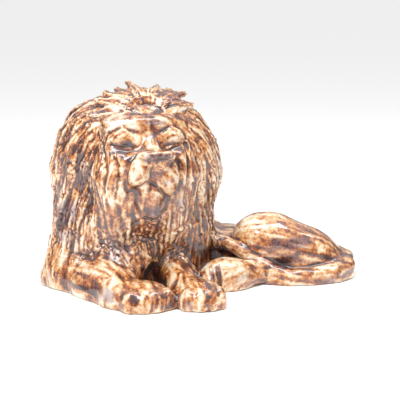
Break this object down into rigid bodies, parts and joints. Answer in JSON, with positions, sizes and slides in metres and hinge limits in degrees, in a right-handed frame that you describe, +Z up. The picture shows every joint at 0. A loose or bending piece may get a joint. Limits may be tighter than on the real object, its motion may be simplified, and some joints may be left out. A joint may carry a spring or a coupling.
{
  "type": "lion sculpture",
  "caption": "Glazed ceramic lion lying with its head raised, full mane, tail wrapped round the haunch and outstretched forelegs, on a flat underside.",
  "frame": {"origin": "centre of the box in plan, on the flat underside that stands on the table", "axes": "+X along the body from the head end to the rump, -Y the way the forelegs and the face point, +Z up"},
  "size_m": [0.4346, 0.3134, 0.2755],
  "materials": {
    "glaze": "glossy mottled glaze, cream and orange-tan on the ridges, dark brown in the grooves, mauve where it pooled"
  },
  "bodies": {
    "root": {"lion": "glaze"}
  },
  "joints": []
}
